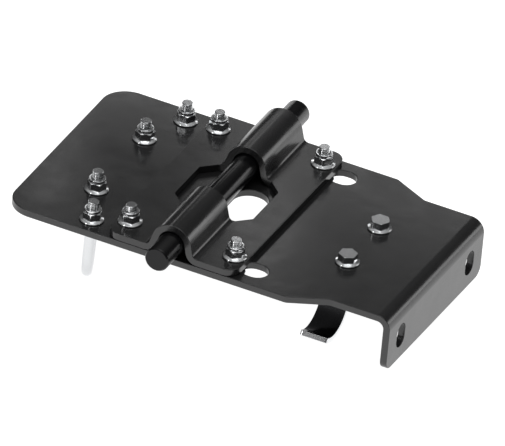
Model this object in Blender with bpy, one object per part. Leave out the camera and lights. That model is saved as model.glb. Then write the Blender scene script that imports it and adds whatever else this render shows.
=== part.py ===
"""A hitch mounting plate, as an assembly of separate pieces.

A flanged base plate and a formed saddle plate hold a cross shaft between them. Two U-bolts and
two hook clamps under the base plate take the round tubes of a frame. +X points to the flanged
front, +Y to the left and +Z up. The origin is the middle of the footprint, on the ground.
"""

import math

import bmesh
import bpy
import numpy as np
from mathutils import Vector

MM = 0.001  # metres in a millimetre, the unit of every size below

# Gap between pieces that bear on each other
GAP = 0.3

# Base plate
PLATE_THICKNESS = 6.35
PLATE_WIDTH = 220.5
PLATE_LENGTH = 357.2  # rear edge to the flange's outer face
REAR_CORNER_RADIUS = 24.0
FLANGE_DEPTH = 53.0  # base plate's top to the flange's lower edge
FLANGE_BEND_RADIUS = 6.35  # inside the bend
FLANGE_CORNER_RADIUS = 9.5
FLANGE_INSET = 17.2  # how much narrower the front is, on each side
TAPER_START = 90.6  # flange face back to where the taper begins
TAPER_END = 57.4  # flange face back to where the taper ends
TAPER_CORNER_RADIUS = 6.0
FLANGE_SLOT_WIDTH = 16.0
FLANGE_SLOT_LENGTH = 22.5
FLANGE_SLOT_EDGE = 25.5  # slot's centre to the flange's side edge
FLANGE_SLOT_DROP = 29.3  # base plate's top to the slot's centre
DRAIN_SLOT_WIDTH = 31.4  # rounded opening under the saddle's window, along X
DRAIN_SLOT_LENGTH = 53.0
DRAIN_SLOT_OFFSET = 18.1  # in front of the shaft's axis
SIDE_SLOT_WIDTH = 21.6
SIDE_SLOT_LENGTH = 24.4
SIDE_SLOT_OFFSET = 8.0  # slot's centre in front of the saddle's front edge

# Saddle plate and cross shaft
SADDLE_LENGTH = 122.0
SADDLE_CORNER_RADIUS = 12.0
WINDOW_LENGTH = 73.4
WINDOW_WIDTH = 73.6
WINDOW_CHAMFER = 12.2
SHAFT_DIAMETER = 22.2
SHAFT_STUB = 29.45  # length that stands out past each side of the plates
SHAFT_CHAMFER = 1.2
SHAFT_SETBACK = 157.1  # rear edge to the shaft's axis
SHAFT_BED_CLEARANCE = 2.65  # base plate's top to the shaft
ARCH_CLEARANCE = 0.95
ARCH_LEG_LEAN = math.radians(15.0)
ARCH_FOOT_RADIUS = 5.0
SADDLE_BOLT_SPACING = 98.6  # along X, half on each side of the shaft
SADDLE_BOLT_EDGE = 23.35  # bolt's axis to the plate's side edge

# Fasteners
THREAD_DIAMETER = 9.525
THREAD_CHAMFER = 0.9
BOLT_HOLE_CLEARANCE = 0.45  # radial
HEX_WALL = 2.64  # thread to a flat
SEAT_BRIM = 3.25  # flat to the seat's edge
SEAT_THICKNESS = 1.2
SEAT_CONE_HEIGHT = 1.5
HEAD_HEIGHT = 8.7
HEAD_CHAMFER = 0.8
NUT_HEX_TOP = 8.4
NUT_HEIGHT = 11.6
CROWN_WALL = 0.8
CROWN_LIP = 1.0
INSERT_CLEARANCE = 0.3
INSERT_RIM = 0.94  # bore to the outside of the locking ring
INSERT_HEIGHT = 1.9
SADDLE_STUD_HEIGHT = 17.5  # saddle's top to the bolt's end
HOOK_STUD_PROUD = 3.0  # past the nut

# Clamps for the frame tubes
TUBE_DIAMETER = 38.1
U_BOLT_PLAY = 0.6
U_BOLT_DROP = 38.4  # base plate's top to the centre of the loop
U_BOLT_STUD_HEIGHT = 19.0
U_BOLT_EDGE = 17.9  # outer leg to the plate's side edge
U_BOLT_SETBACK = 75.1  # rear edge to the outer leg
U_BOLT_SKEW = math.radians(20.9)  # of the loop's plane from straight across
HOOK_WIDTH = 25.4
HOOK_THICKNESS = 4.76
HOOK_PLAY = 0.85
HOOK_CUP_EASE = 4.95  # tube's surface to the cup, at the side
HOOK_WALL_REACH = 17.8  # bolt's axis to the middle of the strap's wall
HOOK_LIP_ANGLE = math.radians(30.0)
HOOK_BEND_RADIUS = 5.0
HOOK_TAIL = 12.0  # bolt to the tab's inner end
HOOK_TAB_CORNER_RADIUS = 3.0
HOOK_BOLT_SPACING = 63.4  # across the plate
HOOK_BOLT_SETBACK = 70.5  # behind the flange face

# Facets
ARC_STEPS = 6
HOLE_SIDES = 18
SLOT_ARC_STEPS = 6
BEND_STEP = math.radians(12.5)
U_BOLT_STEPS = 16
SIDES = 18
SHAFT_SIDES = 32
ROD_SIDES = 16
SHARP_ANGLE = math.radians(32.0)  # edges sharper than this aren't shaded smooth
SAME_POINT = 1e-4
CUT_TOLERANCE = 1e-5

# Places that follow from the sizes
THREAD_RADIUS = THREAD_DIAMETER / 2
HEX_WIDTH = THREAD_DIAMETER + 2 * HEX_WALL  # across flats
SEAT_RADIUS = HEX_WIDTH / 2 + SEAT_BRIM
NUT_BORE_RADIUS = THREAD_RADIUS + GAP
INSERT_RADIUS = NUT_BORE_RADIUS + INSERT_RIM
POCKET_RADIUS = INSERT_RADIUS + INSERT_CLEARANCE
CROWN_RADIUS = POCKET_RADIUS + CROWN_WALL
HOLE_RADIUS = THREAD_RADIUS + BOLT_HOLE_CLEARANCE
LOOP_RADIUS = (TUBE_DIAMETER + THREAD_DIAMETER + U_BOLT_PLAY) / 2
BASE_TOP = U_BOLT_DROP + LOOP_RADIUS + THREAD_RADIUS
BASE_UNDER = BASE_TOP - PLATE_THICKNESS
SADDLE_UNDER = BASE_TOP + GAP
SADDLE_TOP = SADDLE_UNDER + PLATE_THICKNESS
HALF_WIDTH = PLATE_WIDTH / 2
FRONT_HALF_WIDTH = HALF_WIDTH - FLANGE_INSET
REAR_X = -PLATE_LENGTH / 2
SHAFT_X = REAR_X + SHAFT_SETBACK
SHAFT_Z = BASE_TOP + SHAFT_BED_CLEARANCE + SHAFT_DIAMETER / 2
HOOK_BOLT_X = -REAR_X - HOOK_BOLT_SETBACK
HOOK_BOLT_Y = HOOK_BOLT_SPACING / 2
SADDLE_BOLT_Y = HALF_WIDTH - SADDLE_BOLT_EDGE
U_OUTER_X = REAR_X + U_BOLT_SETBACK
U_OUTER_Y = HALF_WIDTH - U_BOLT_EDGE
U_MIDDLE_X = U_OUTER_X - LOOP_RADIUS * math.sin(U_BOLT_SKEW)
U_MIDDLE_Y = U_OUTER_Y - LOOP_RADIUS * math.cos(U_BOLT_SKEW)

SIDES_OF_PLATE = {"left": 1, "right": -1}
ENDS_OF_SADDLE = {"front": 1, "rear": -1}

# Finishes: colour, metallic and roughness
BLACK_PAINT = ((0.012, 0.012, 0.013), 0.0, 0.25)
DARK_STEEL = ((0.03, 0.03, 0.032), 0.0, 0.35)
BRIGHT_ZINC = ((0.62, 0.63, 0.64), 1.0, 0.25)
NYLON = ((0.55, 0.56, 0.58), 0.0, 0.5)


def clear_scene():
    for old in list(bpy.data.objects):
        bpy.data.objects.remove(old, do_unlink=True)


def add_object(name, mesh, finish, place=(0, 0, 0), turn=(0, 0, 0)):
    """Put a mesh in the scene at a place in millimetres, with a material of its own."""
    piece = bpy.data.objects.new(name, mesh)
    bpy.context.scene.collection.objects.link(piece)
    piece.location = Vector(place) * MM
    piece.rotation_euler = turn
    colour, metallic, roughness = finish
    material = bpy.data.materials.new(name + "_finish")
    material.use_nodes = True
    shader = material.node_tree.nodes["Principled BSDF"]
    shader.inputs["Base Color"].default_value = (*colour, 1.0)
    shader.inputs["Metallic"].default_value = metallic
    shader.inputs["Roughness"].default_value = roughness
    if not mesh.materials:
        mesh.materials.append(material)
    piece.material_slots[0].link = "OBJECT"
    piece.material_slots[0].material = material
    return piece


def finish_mesh(name, bm):
    """Turn the faces outwards, scale to metres and shade the round faces smooth."""
    bmesh.ops.recalc_face_normals(bm, faces=bm.faces)
    bmesh.ops.scale(bm, vec=(MM, MM, MM), verts=bm.verts)
    mesh = bpy.data.meshes.new(name)
    bm.to_mesh(mesh)
    bm.free()
    mesh.shade_smooth()
    mesh.set_sharp_from_angle(angle=SHARP_ANGLE)
    return mesh


# Outlines: lists of flat points, round corners included


def rounded_outline(corners, steps=ARC_STEPS):
    """A closed outline through corners (x, y, radius), each rounded by a tangent arc."""
    points = []
    count = len(corners)
    for i, (x, y, radius) in enumerate(corners):
        here = np.array([x, y])
        back = np.array(corners[i - 1][:2]) - here
        ahead = np.array(corners[(i + 1) % count][:2]) - here
        back = back / np.linalg.norm(back)
        ahead = ahead / np.linalg.norm(ahead)
        if radius == 0:
            points.append(here)
            continue
        half = math.acos(np.clip(back @ ahead, -1, 1)) / 2
        middle = (back + ahead) / np.linalg.norm(back + ahead)
        centre = here + middle * radius / math.sin(half)
        start = here + back * radius / math.tan(half) - centre
        sweep = math.pi - 2 * half
        turn = math.copysign(sweep, back[1] * ahead[0] - back[0] * ahead[1])
        for k in range(steps + 1):
            angle = turn * k / steps
            cosine, sine = math.cos(angle), math.sin(angle)
            spin = np.array([[cosine, -sine], [sine, cosine]])
            points.append(centre + spin @ start)
    return [p for i, p in enumerate(points) if np.linalg.norm(p - points[i - 1]) > SAME_POINT]


def circle(x, y, radius):
    angles = np.arange(HOLE_SIDES) * 2 * math.pi / HOLE_SIDES
    return [np.array([x + radius * math.cos(a), y + radius * math.sin(a)]) for a in angles]


def slot(x, y, size_x, size_y):
    """A round-ended slot, whose corner arcs are half its narrow side."""
    half_x, half_y = size_x / 2, size_y / 2
    radius = min(half_x, half_y)
    signs = ((-1, -1), (1, -1), (1, 1), (-1, 1))
    corners = [(x + a * half_x, y + b * half_y, radius) for a, b in signs]
    return rounded_outline(corners, SLOT_ARC_STEPS)


# Bent sheet: a flat pattern folded along a path


def strip_path(start, moves):
    """Rows of (distance, along, up, heading) down the middle of a bent strip that starts level.

    A move is (length, 0) for a straight, or (radius, turn) for a bend, upwards if turn > 0.
    """
    along, up = start
    distance = heading = 0.0
    rows = [(distance, along, up, heading)]
    for size, turn in moves:
        steps = max(1, math.ceil(abs(turn) / BEND_STEP))
        for _ in range(steps):
            angle = turn / steps
            chord = 2 * size * math.sin(abs(angle) / 2) if turn else size
            along += chord * math.cos(heading + angle / 2)
            up += chord * math.sin(heading + angle / 2)
            heading += angle
            distance += size * abs(angle) if turn else size
            rows.append((distance, along, up, heading))
    return np.array(rows)


def folded_sheet(name, outline, holes, path, thickness, place_point):
    """A flat pattern in (distance, width), cut at each bend line and folded along the path.

    place_point turns (along, width, up) into the piece's own X, Y and Z.
    """
    bm = bmesh.new()
    for loop in [outline, *holes]:
        ring = [bm.verts.new((p[0], p[1], 0.0)) for p in loop]
        for i, vertex in enumerate(ring):
            bm.edges.new((ring[i - 1], vertex))
    bmesh.ops.triangle_fill(bm, use_beauty=True, edges=bm.edges)
    for distance in path[1:-1, 0]:
        parts = bm.verts[:] + bm.edges[:] + bm.faces[:]
        bmesh.ops.bisect_plane(
            bm, geom=parts, dist=CUT_TOLERANCE, plane_co=(distance, 0, 0), plane_no=(1, 0, 0)
        )
    bmesh.ops.triangulate(bm, faces=bm.faces)
    bm.verts.ensure_lookup_table()

    # The two skins lie half a thickness either side of the middle, square to the path
    normals = np.stack([-np.sin(path[:, 3]), np.cos(path[:, 3])], axis=1)
    distances, widths = np.array([v.co[:2] for v in bm.verts]).T
    folded = {}
    for side in (1, -1):
        skin = path[:, 1:3] + side * normals * thickness / 2
        along = np.interp(distances, path[:, 0], skin[:, 0])
        up = np.interp(distances, path[:, 0], skin[:, 1])
        folded[side] = [place_point(*point) for point in zip(along, widths, up)]
    triangles = [[v.index for v in face.verts] for face in bm.faces]
    border = [[v.index for v in edge.verts] for edge in bm.edges if edge.is_boundary]
    bm.free()

    solid = bmesh.new()
    upper = [solid.verts.new(p) for p in folded[1]]
    lower = [solid.verts.new(p) for p in folded[-1]]
    for a, b, c in triangles:
        solid.faces.new((upper[a], upper[b], upper[c]))
        solid.faces.new((lower[c], lower[b], lower[a]))
    for a, b in border:
        solid.faces.new((upper[a], upper[b], lower[b], lower[a]))
    return finish_mesh(name, solid)


# Turned and hexagonal solids: rings of points, one above the other


def round_ring(radius, height, sides=SIDES):
    angles = np.arange(sides) * 2 * math.pi / sides
    heights = np.full(sides, height)
    return np.stack([radius * np.cos(angles), radius * np.sin(angles), heights], axis=1)


def hex_ring(across_flats, height, sides=SIDES):
    """A ring on a hexagon, with as many points as a round one."""
    angles = np.arange(sides) * 2 * math.pi / sides
    sixth = math.pi / 3
    off_middle = (angles + sixth / 2) % sixth - sixth / 2
    radii = across_flats / 2 / np.cos(off_middle)
    heights = np.full(sides, height)
    return np.stack([radii * np.cos(angles), radii * np.sin(angles), heights], axis=1)


def stacked_solid(name, rings, tube=False):
    """Skin the rings in order, with flat ends, or joined last to first for a bored solid."""
    bm = bmesh.new()
    loops = [[bm.verts.new(p) for p in ring] for ring in rings]
    pairs = list(zip(loops, loops[1:]))
    if tube:
        pairs.append((loops[-1], loops[0]))
    for low, high in pairs:
        for i in range(len(low)):
            bm.faces.new((low[i - 1], low[i], high[i], high[i - 1]))
    if not tube:
        bm.faces.new(loops[0])
        bm.faces.new(loops[-1])
    return finish_mesh(name, bm)


# Plates


def base_plate_mesh():
    bend_middle = FLANGE_BEND_RADIUS + PLATE_THICKNESS / 2
    bend_outer = FLANGE_BEND_RADIUS + PLATE_THICKNESS
    flat_length = PLATE_LENGTH - bend_outer
    path = strip_path(
        (REAR_X, BASE_TOP - PLATE_THICKNESS / 2),
        [(flat_length, 0), (bend_middle, -math.pi / 2), (FLANGE_DEPTH - bend_outer, 0)],
    )
    end = path[-1, 0]
    taper_start = PLATE_LENGTH - TAPER_START
    taper_end = PLATE_LENGTH - TAPER_END
    one_side = [
        (end, FRONT_HALF_WIDTH, FLANGE_CORNER_RADIUS),
        (taper_end, FRONT_HALF_WIDTH, TAPER_CORNER_RADIUS),
        (taper_start, HALF_WIDTH, TAPER_CORNER_RADIUS),
        (0.0, HALF_WIDTH, REAR_CORNER_RADIUS),
    ]
    other_side = [(s, -y, radius) for s, y, radius in reversed(one_side)]
    outline = rounded_outline(one_side + other_side)

    saddle_front = SHAFT_SETBACK + SADDLE_LENGTH / 2
    slot_distance = end - (FLANGE_DEPTH - FLANGE_SLOT_DROP)
    holes = [slot(SHAFT_SETBACK + DRAIN_SLOT_OFFSET, 0.0, DRAIN_SLOT_WIDTH, DRAIN_SLOT_LENGTH)]
    for side in SIDES_OF_PLATE.values():
        slot_y = side * (FRONT_HALF_WIDTH - FLANGE_SLOT_EDGE)
        holes.append(slot(slot_distance, slot_y, FLANGE_SLOT_LENGTH, FLANGE_SLOT_WIDTH))
        side_slot_x = saddle_front + SIDE_SLOT_OFFSET
        slot_y = side * SADDLE_BOLT_Y
        holes.append(slot(side_slot_x, slot_y, SIDE_SLOT_LENGTH, SIDE_SLOT_WIDTH))
        holes.append(circle(PLATE_LENGTH - HOOK_BOLT_SETBACK, side * HOOK_BOLT_Y, HOLE_RADIUS))
        for end_sign in ENDS_OF_SADDLE.values():
            bolt_x = SHAFT_SETBACK + end_sign * SADDLE_BOLT_SPACING / 2
            holes.append(circle(bolt_x, side * SADDLE_BOLT_Y, HOLE_RADIUS))
        for leg_x, leg_y in u_bolt_legs():
            holes.append(circle(leg_x - REAR_X, side * leg_y, HOLE_RADIUS))
    return folded_sheet(
        "base_plate", outline, holes, path, PLATE_THICKNESS, lambda along, y, up: (along, y, up)
    )


def saddle_plate_mesh():
    foot_middle = ARCH_FOOT_RADIUS + PLATE_THICKNESS / 2
    arch_middle = SHAFT_DIAMETER / 2 + ARCH_CLEARANCE + PLATE_THICKNESS / 2
    rise = math.pi / 2 - ARCH_LEG_LEAN
    middle_up = SADDLE_UNDER + PLATE_THICKNESS / 2

    # The legs are as long as it takes to bring the arch's centre onto the shaft's axis
    leg_rise = SHAFT_Z - middle_up + arch_middle * math.cos(rise) - foot_middle * (1 - math.cos(rise))
    leg = leg_rise / math.sin(rise)
    half_span = foot_middle * math.sin(rise) + leg * math.cos(rise) + arch_middle * math.sin(rise)
    flat = SADDLE_LENGTH / 2 - half_span
    path = strip_path(
        (SHAFT_X - SADDLE_LENGTH / 2, middle_up),
        [
            (flat, 0),
            (foot_middle, rise),
            (leg, 0),
            (arch_middle, -2 * rise),
            (leg, 0),
            (foot_middle, rise),
            (flat, 0),
        ],
    )
    length = path[-1, 0]
    middle = length / 2
    corners = ((0.0, -1), (length, -1), (length, 1), (0.0, 1))
    outline = rounded_outline([(s, y * HALF_WIDTH, SADDLE_CORNER_RADIUS) for s, y in corners])

    stretch = middle - SADDLE_LENGTH / 2  # what forming the arch adds to each half
    reach = WINDOW_LENGTH / 2 + stretch
    side = WINDOW_WIDTH / 2
    cut = WINDOW_CHAMFER
    window = [
        (-reach, side - cut),
        (-reach, cut - side),
        (cut - reach, -side),
        (reach - cut, -side),
        (reach, cut - side),
        (reach, side - cut),
        (reach - cut, side),
        (cut - reach, side),
    ]
    holes = [[np.array([middle + s, y]) for s, y in window]]
    bolt_reach = SADDLE_BOLT_SPACING / 2 + stretch
    for a in (1, -1):
        for b in (1, -1):
            holes.append(circle(middle + a * bolt_reach, b * SADDLE_BOLT_Y, HOLE_RADIUS))
    return folded_sheet(
        "saddle_plate", outline, holes, path, PLATE_THICKNESS, lambda along, y, up: (along, y, up)
    )


def shaft_mesh():
    radius = SHAFT_DIAMETER / 2
    half = HALF_WIDTH + SHAFT_STUB
    rings = [
        round_ring(radius - SHAFT_CHAMFER, -half, SHAFT_SIDES),
        round_ring(radius, SHAFT_CHAMFER - half, SHAFT_SIDES),
        round_ring(radius, half - SHAFT_CHAMFER, SHAFT_SIDES),
        round_ring(radius - SHAFT_CHAMFER, half, SHAFT_SIDES),
    ]
    return stacked_solid("cross_shaft", rings)


# Clamps


def u_bolt_legs():
    """The two legs' places on the left side, outer first."""
    inner_x = 2 * U_MIDDLE_X - U_OUTER_X
    inner_y = 2 * U_MIDDLE_Y - U_OUTER_Y
    return [(U_OUTER_X, U_OUTER_Y), (inner_x, inner_y)]


def u_bolt_mesh():
    """A rod bent down, round the loop and up again, in the plane y = 0 about the loop's middle."""
    top = U_BOLT_DROP + U_BOLT_STUD_HEIGHT
    angles = np.linspace(0, math.pi, U_BOLT_STEPS + 1)
    places = [(LOOP_RADIUS, top), (LOOP_RADIUS, top - THREAD_CHAMFER)]
    places += [(LOOP_RADIUS * math.cos(a), -LOOP_RADIUS * math.sin(a)) for a in angles]
    places += [(-LOOP_RADIUS, top - THREAD_CHAMFER), (-LOOP_RADIUS, top)]
    headings = [0.0, 0.0, *angles, math.pi, math.pi]
    radii = [THREAD_RADIUS - THREAD_CHAMFER, *[THREAD_RADIUS] * (U_BOLT_STEPS + 3)]
    radii.append(THREAD_RADIUS - THREAD_CHAMFER)
    around = np.arange(ROD_SIDES) * 2 * math.pi / ROD_SIDES
    rings = []
    for (x, z), heading, radius in zip(places, headings, radii):
        out = radius * np.cos(around)
        across = radius * np.sin(around)
        ring = [x + out * math.cos(heading), across, z - out * math.sin(heading)]
        rings.append(np.stack(ring, axis=1))
    return stacked_solid("u_bolt", rings)


def hook_mesh(name, side):
    """A strap folded down from its tab and out into a cup, about the bolt at the tab's top face."""
    half = HOOK_THICKNESS / 2
    bend_middle = HOOK_BEND_RADIUS + half
    cup_radius = TUBE_DIAMETER / 2 + HOOK_CUP_EASE
    cup_drop = TUBE_DIAMETER + HOOK_PLAY - cup_radius - GAP
    path = strip_path(
        (-HOOK_TAIL, -half),
        [
            (HOOK_TAIL + HOOK_WALL_REACH - bend_middle, 0),
            (bend_middle, -math.pi / 2),
            (cup_drop - half - bend_middle, 0),
            (cup_radius + half, math.pi / 2 + HOOK_LIP_ANGLE),
        ],
    )
    end = path[-1, 0]
    edge = HOOK_WIDTH / 2
    corner = HOOK_TAB_CORNER_RADIUS
    outline = rounded_outline(
        [(0, -edge, corner), (end, -edge, 0), (end, edge, 0), (0, edge, corner)]
    )
    holes = [circle(HOOK_TAIL, 0.0, HOLE_RADIUS)]
    return folded_sheet(
        name, outline, holes, path, HOOK_THICKNESS, lambda along, x, up: (x, side * along, up)
    )


# Fasteners, each about its own axis with the seat at z = 0


def bolt_mesh(name, shank):
    hex_start = SEAT_THICKNESS + SEAT_CONE_HEIGHT
    rings = [
        round_ring(THREAD_RADIUS - THREAD_CHAMFER, -shank),
        round_ring(THREAD_RADIUS, THREAD_CHAMFER - shank),
        round_ring(THREAD_RADIUS, 0.0),
        round_ring(SEAT_RADIUS, 0.0),
        round_ring(SEAT_RADIUS, SEAT_THICKNESS),
        hex_ring(HEX_WIDTH, hex_start),
        hex_ring(HEX_WIDTH, HEAD_HEIGHT - HEAD_CHAMFER),
        round_ring(HEX_WIDTH / 2 - HEAD_CHAMFER / 2, HEAD_HEIGHT),
    ]
    return stacked_solid(name, rings)


def nut_mesh():
    """A flanged hexagon nut whose thin crown keeps the locking insert under its lip."""
    lip_under = NUT_HEIGHT - CROWN_LIP
    pocket_floor = lip_under - INSERT_HEIGHT - 2 * INSERT_CLEARANCE
    rings = [
        round_ring(SEAT_RADIUS, 0.0),
        round_ring(SEAT_RADIUS, SEAT_THICKNESS),
        hex_ring(HEX_WIDTH, SEAT_THICKNESS + SEAT_CONE_HEIGHT),
        hex_ring(HEX_WIDTH, NUT_HEX_TOP),
        round_ring(CROWN_RADIUS, NUT_HEX_TOP),
        round_ring(CROWN_RADIUS, lip_under),
        round_ring(CROWN_RADIUS - CROWN_LIP, NUT_HEIGHT),
        round_ring(CROWN_RADIUS - CROWN_WALL - CROWN_LIP, NUT_HEIGHT),
        round_ring(CROWN_RADIUS - CROWN_WALL - CROWN_LIP, lip_under),
        round_ring(POCKET_RADIUS, lip_under),
        round_ring(POCKET_RADIUS, pocket_floor),
        round_ring(NUT_BORE_RADIUS, pocket_floor),
        round_ring(NUT_BORE_RADIUS, 0.0),
    ]
    return stacked_solid("lock_nut", rings, tube=True)


def insert_mesh():
    """The plastic locking ring, in the pocket under the nut's lip."""
    top = NUT_HEIGHT - CROWN_LIP - INSERT_CLEARANCE
    bottom = top - INSERT_HEIGHT
    rings = [round_ring(INSERT_RADIUS, bottom), round_ring(INSERT_RADIUS, top)]
    rings += [round_ring(NUT_BORE_RADIUS, top), round_ring(NUT_BORE_RADIUS, bottom)]
    return stacked_solid("lock_insert", rings, tube=True)


# Assembly

clear_scene()

add_object("base_plate", base_plate_mesh(), BLACK_PAINT)
add_object("saddle_plate", saddle_plate_mesh(), BLACK_PAINT)
add_object(
    "cross_shaft",
    shaft_mesh(),
    DARK_STEEL,
    place=(SHAFT_X, 0.0, SHAFT_Z),
    turn=(math.pi / 2, 0.0, 0.0),
)

nut_shape = nut_mesh()
insert_shape = insert_mesh()


def add_lock_nut(label, place, turn=(0.0, 0.0, 0.0)):
    """A nut with its locking insert, on the seat at place."""
    add_object(label.replace("#", "nut"), nut_shape, BRIGHT_ZINC, place, turn)
    add_object(label.replace("#", "insert"), insert_shape, NYLON, place, turn)


u_bolt_shape = u_bolt_mesh()
for side_name, side in SIDES_OF_PLATE.items():
    skew = math.pi / 2 - U_BOLT_SKEW
    add_object(
        "u_bolt_" + side_name,
        u_bolt_shape,
        BRIGHT_ZINC,
        place=(U_MIDDLE_X, side * U_MIDDLE_Y, BASE_TOP - U_BOLT_DROP),
        turn=(0.0, 0.0, side * skew),
    )
    for leg_name, (leg_x, leg_y) in zip(("outer", "inner"), u_bolt_legs()):
        seat_place = (leg_x, side * leg_y, BASE_TOP + GAP)
        add_lock_nut(f"u_bolt_#_{side_name}_{leg_name}", seat_place)

saddle_shank = PLATE_THICKNESS * 2 + GAP * 2 + SADDLE_STUD_HEIGHT
saddle_bolt_shape = bolt_mesh("saddle_bolt", saddle_shank)
for side_name, side in SIDES_OF_PLATE.items():
    for end_name, end_sign in ENDS_OF_SADDLE.items():
        bolt_x = SHAFT_X + end_sign * SADDLE_BOLT_SPACING / 2
        bolt_y = side * SADDLE_BOLT_Y
        add_object(
            f"saddle_bolt_{side_name}_{end_name}",
            saddle_bolt_shape,
            BRIGHT_ZINC,
            place=(bolt_x, bolt_y, BASE_UNDER - GAP),
            turn=(math.pi, 0.0, 0.0),
        )
        add_lock_nut(f"saddle_#_{side_name}_{end_name}", (bolt_x, bolt_y, SADDLE_TOP + GAP))

hook_stack = PLATE_THICKNESS + HOOK_THICKNESS + GAP * 3
hook_bolt_shape = bolt_mesh("hook_bolt", hook_stack + NUT_HEIGHT + HOOK_STUD_PROUD)
for side_name, side in SIDES_OF_PLATE.items():
    bolt_y = side * HOOK_BOLT_Y
    add_object(
        "hook_clamp_" + side_name,
        hook_mesh("hook_clamp_" + side_name, side),
        BRIGHT_ZINC,
        place=(HOOK_BOLT_X, bolt_y, BASE_UNDER - GAP),
    )
    add_object(
        "hook_bolt_" + side_name,
        hook_bolt_shape,
        BRIGHT_ZINC,
        place=(HOOK_BOLT_X, bolt_y, BASE_TOP + GAP),
    )
    nut_seat = (HOOK_BOLT_X, bolt_y, BASE_UNDER - GAP * 2 - HOOK_THICKNESS)
    add_lock_nut("hook_#_" + side_name, nut_seat, turn=(math.pi, 0.0, 0.0))
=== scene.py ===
"""Looks of a hitch mounting plate with its cross shaft, lock nuts, U-bolts and hook clamps.

The sections follow the plate as a shop puts it together: the two plates, the shaft between them,
the bolts and nuts that close them, and the clamps that hang under them for the frame tubes.
+X points to the flanged front, +Y to the left and +Z up. Lengths are in metres.
"""

import math

import bpy
import numpy as np
from mathutils import Matrix, Vector
from mathutils.geometry import delaunay_2d_cdt


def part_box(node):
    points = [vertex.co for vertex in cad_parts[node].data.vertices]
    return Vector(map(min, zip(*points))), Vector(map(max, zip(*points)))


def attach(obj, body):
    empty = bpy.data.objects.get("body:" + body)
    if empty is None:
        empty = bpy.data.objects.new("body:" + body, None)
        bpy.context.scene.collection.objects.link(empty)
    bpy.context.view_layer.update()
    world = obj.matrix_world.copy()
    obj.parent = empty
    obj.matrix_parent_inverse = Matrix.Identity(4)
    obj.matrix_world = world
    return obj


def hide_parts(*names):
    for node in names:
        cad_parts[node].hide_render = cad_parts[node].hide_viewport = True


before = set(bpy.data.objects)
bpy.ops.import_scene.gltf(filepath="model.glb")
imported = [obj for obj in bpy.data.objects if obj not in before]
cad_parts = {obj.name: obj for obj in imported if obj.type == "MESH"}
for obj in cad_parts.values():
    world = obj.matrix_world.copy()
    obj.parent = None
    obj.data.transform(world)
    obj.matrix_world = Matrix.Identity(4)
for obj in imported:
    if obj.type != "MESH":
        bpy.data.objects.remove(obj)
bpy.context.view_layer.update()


# Viewpoint and room -------------------------------------------------------------------------
# A distant camera at the front right, a little rolled, looks down on the plate, which stands on
# a white floor that glows from within, as a light table does. The studio round it is dim, and a
# low box at the front left, an overhead box, a strip and four cards draw the highlights.

VIEW_RIGHT = Vector((0.89829, 0.43035, 0.088705)).normalized()
VIEW_BACK = Vector((0.32188, -0.78191, 0.53386))
VIEW_WIDTH = 0.4272
VIEW_AIM = Vector((-0.0115, 0.0402, 0.0254))
VIEW_DISTANCE = 3.0
VIEW_CLIP = 40.0
FLOOR_SIZE = 30.0
FLOOR_PALE = (0.5, 0.5, 0.5, 1.0)
FLOOR_GLOW = 0.98
FLOOR_ROUGHNESS = 0.9
FLOOR_SHEEN = 0.1
SKY_STOPS = ((0.0, 0.05), (0.2, 0.05), (0.42, 0.09), (0.6, 0.11), (0.85, 0.5), (1.0, 0.9))
# Each light's name, place, aim, width, height and power
SOFT_BOXES = (
    ("overhead_box", (0.3, -0.5, 2.6), (0.0, 0.0, 0.0), 1.6, 1.6, 9.0),
    ("low_box", (1.5, 1.5, 0.36), (0.0, 0.0, 0.05), 1.5, 0.5, 5.0),
    ("near_strip", (-0.9, -1.6, 0.9), (0.0, 0.0, 0.05), 0.25, 1.2, 6.0),
    ("front_card", (-0.14, 0.64, 0.49), (0.11, 0.01, 0.067), 0.20, 0.10, 0.011),
    ("saddle_card", (-0.236, 0.594, 0.498), (0.02, -0.03, 0.074), 0.07, 0.06, 0.021),
    ("rear_card", (-0.456, 0.654, 0.491), (-0.2, 0.03, 0.067), 0.04, 0.20, 0.030),
    ("far_edge_card", (-0.192, 0.593, 0.385), (-0.192, 0.115, 0.067), 0.46, 0.045, 0.095),
)

view_back = (VIEW_BACK - VIEW_BACK.dot(VIEW_RIGHT) * VIEW_RIGHT).normalized()
view_up = view_back.cross(VIEW_RIGHT)
camera_data = bpy.data.cameras.new("product_view")
camera_data.type = "ORTHO"
camera_data.ortho_scale = VIEW_WIDTH
camera_data.clip_end = VIEW_CLIP
camera = bpy.data.objects.new("product_view", camera_data)
bpy.context.scene.collection.objects.link(camera)
view_turn = Matrix((VIEW_RIGHT, view_up, view_back)).transposed().to_4x4()
camera.matrix_world = Matrix.Translation(VIEW_AIM + view_back * VIEW_DISTANCE) @ view_turn
bpy.context.scene.camera = camera
bpy.context.scene.view_settings.view_transform = "Standard"

sky = bpy.data.worlds.new("studio_sky")
sky.use_nodes = True
bpy.context.scene.world = sky
sky_nodes, sky_links = sky.node_tree.nodes, sky.node_tree.links
sky_light = sky_nodes["Background"]
sky_place = sky_nodes.new("ShaderNodeTexCoord")
sky_height = sky_nodes.new("ShaderNodeSeparateXYZ")
sky_ramp = sky_nodes.new("ShaderNodeValToRGB")
sky_links.new(sky_place.outputs["Generated"], sky_height.inputs["Vector"])
sky_links.new(sky_height.outputs["Z"], sky_ramp.inputs["Fac"])
sky_links.new(sky_ramp.outputs["Color"], sky_light.inputs["Color"])
stops = sky_ramp.color_ramp.elements
for count, (height, glow) in enumerate(SKY_STOPS):
    stop = stops[0] if count == 0 else stops.new(height)
    stop.position = height
    stop.color = (glow, glow, glow, 1.0)
stops.remove(stops[len(SKY_STOPS)])


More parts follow.
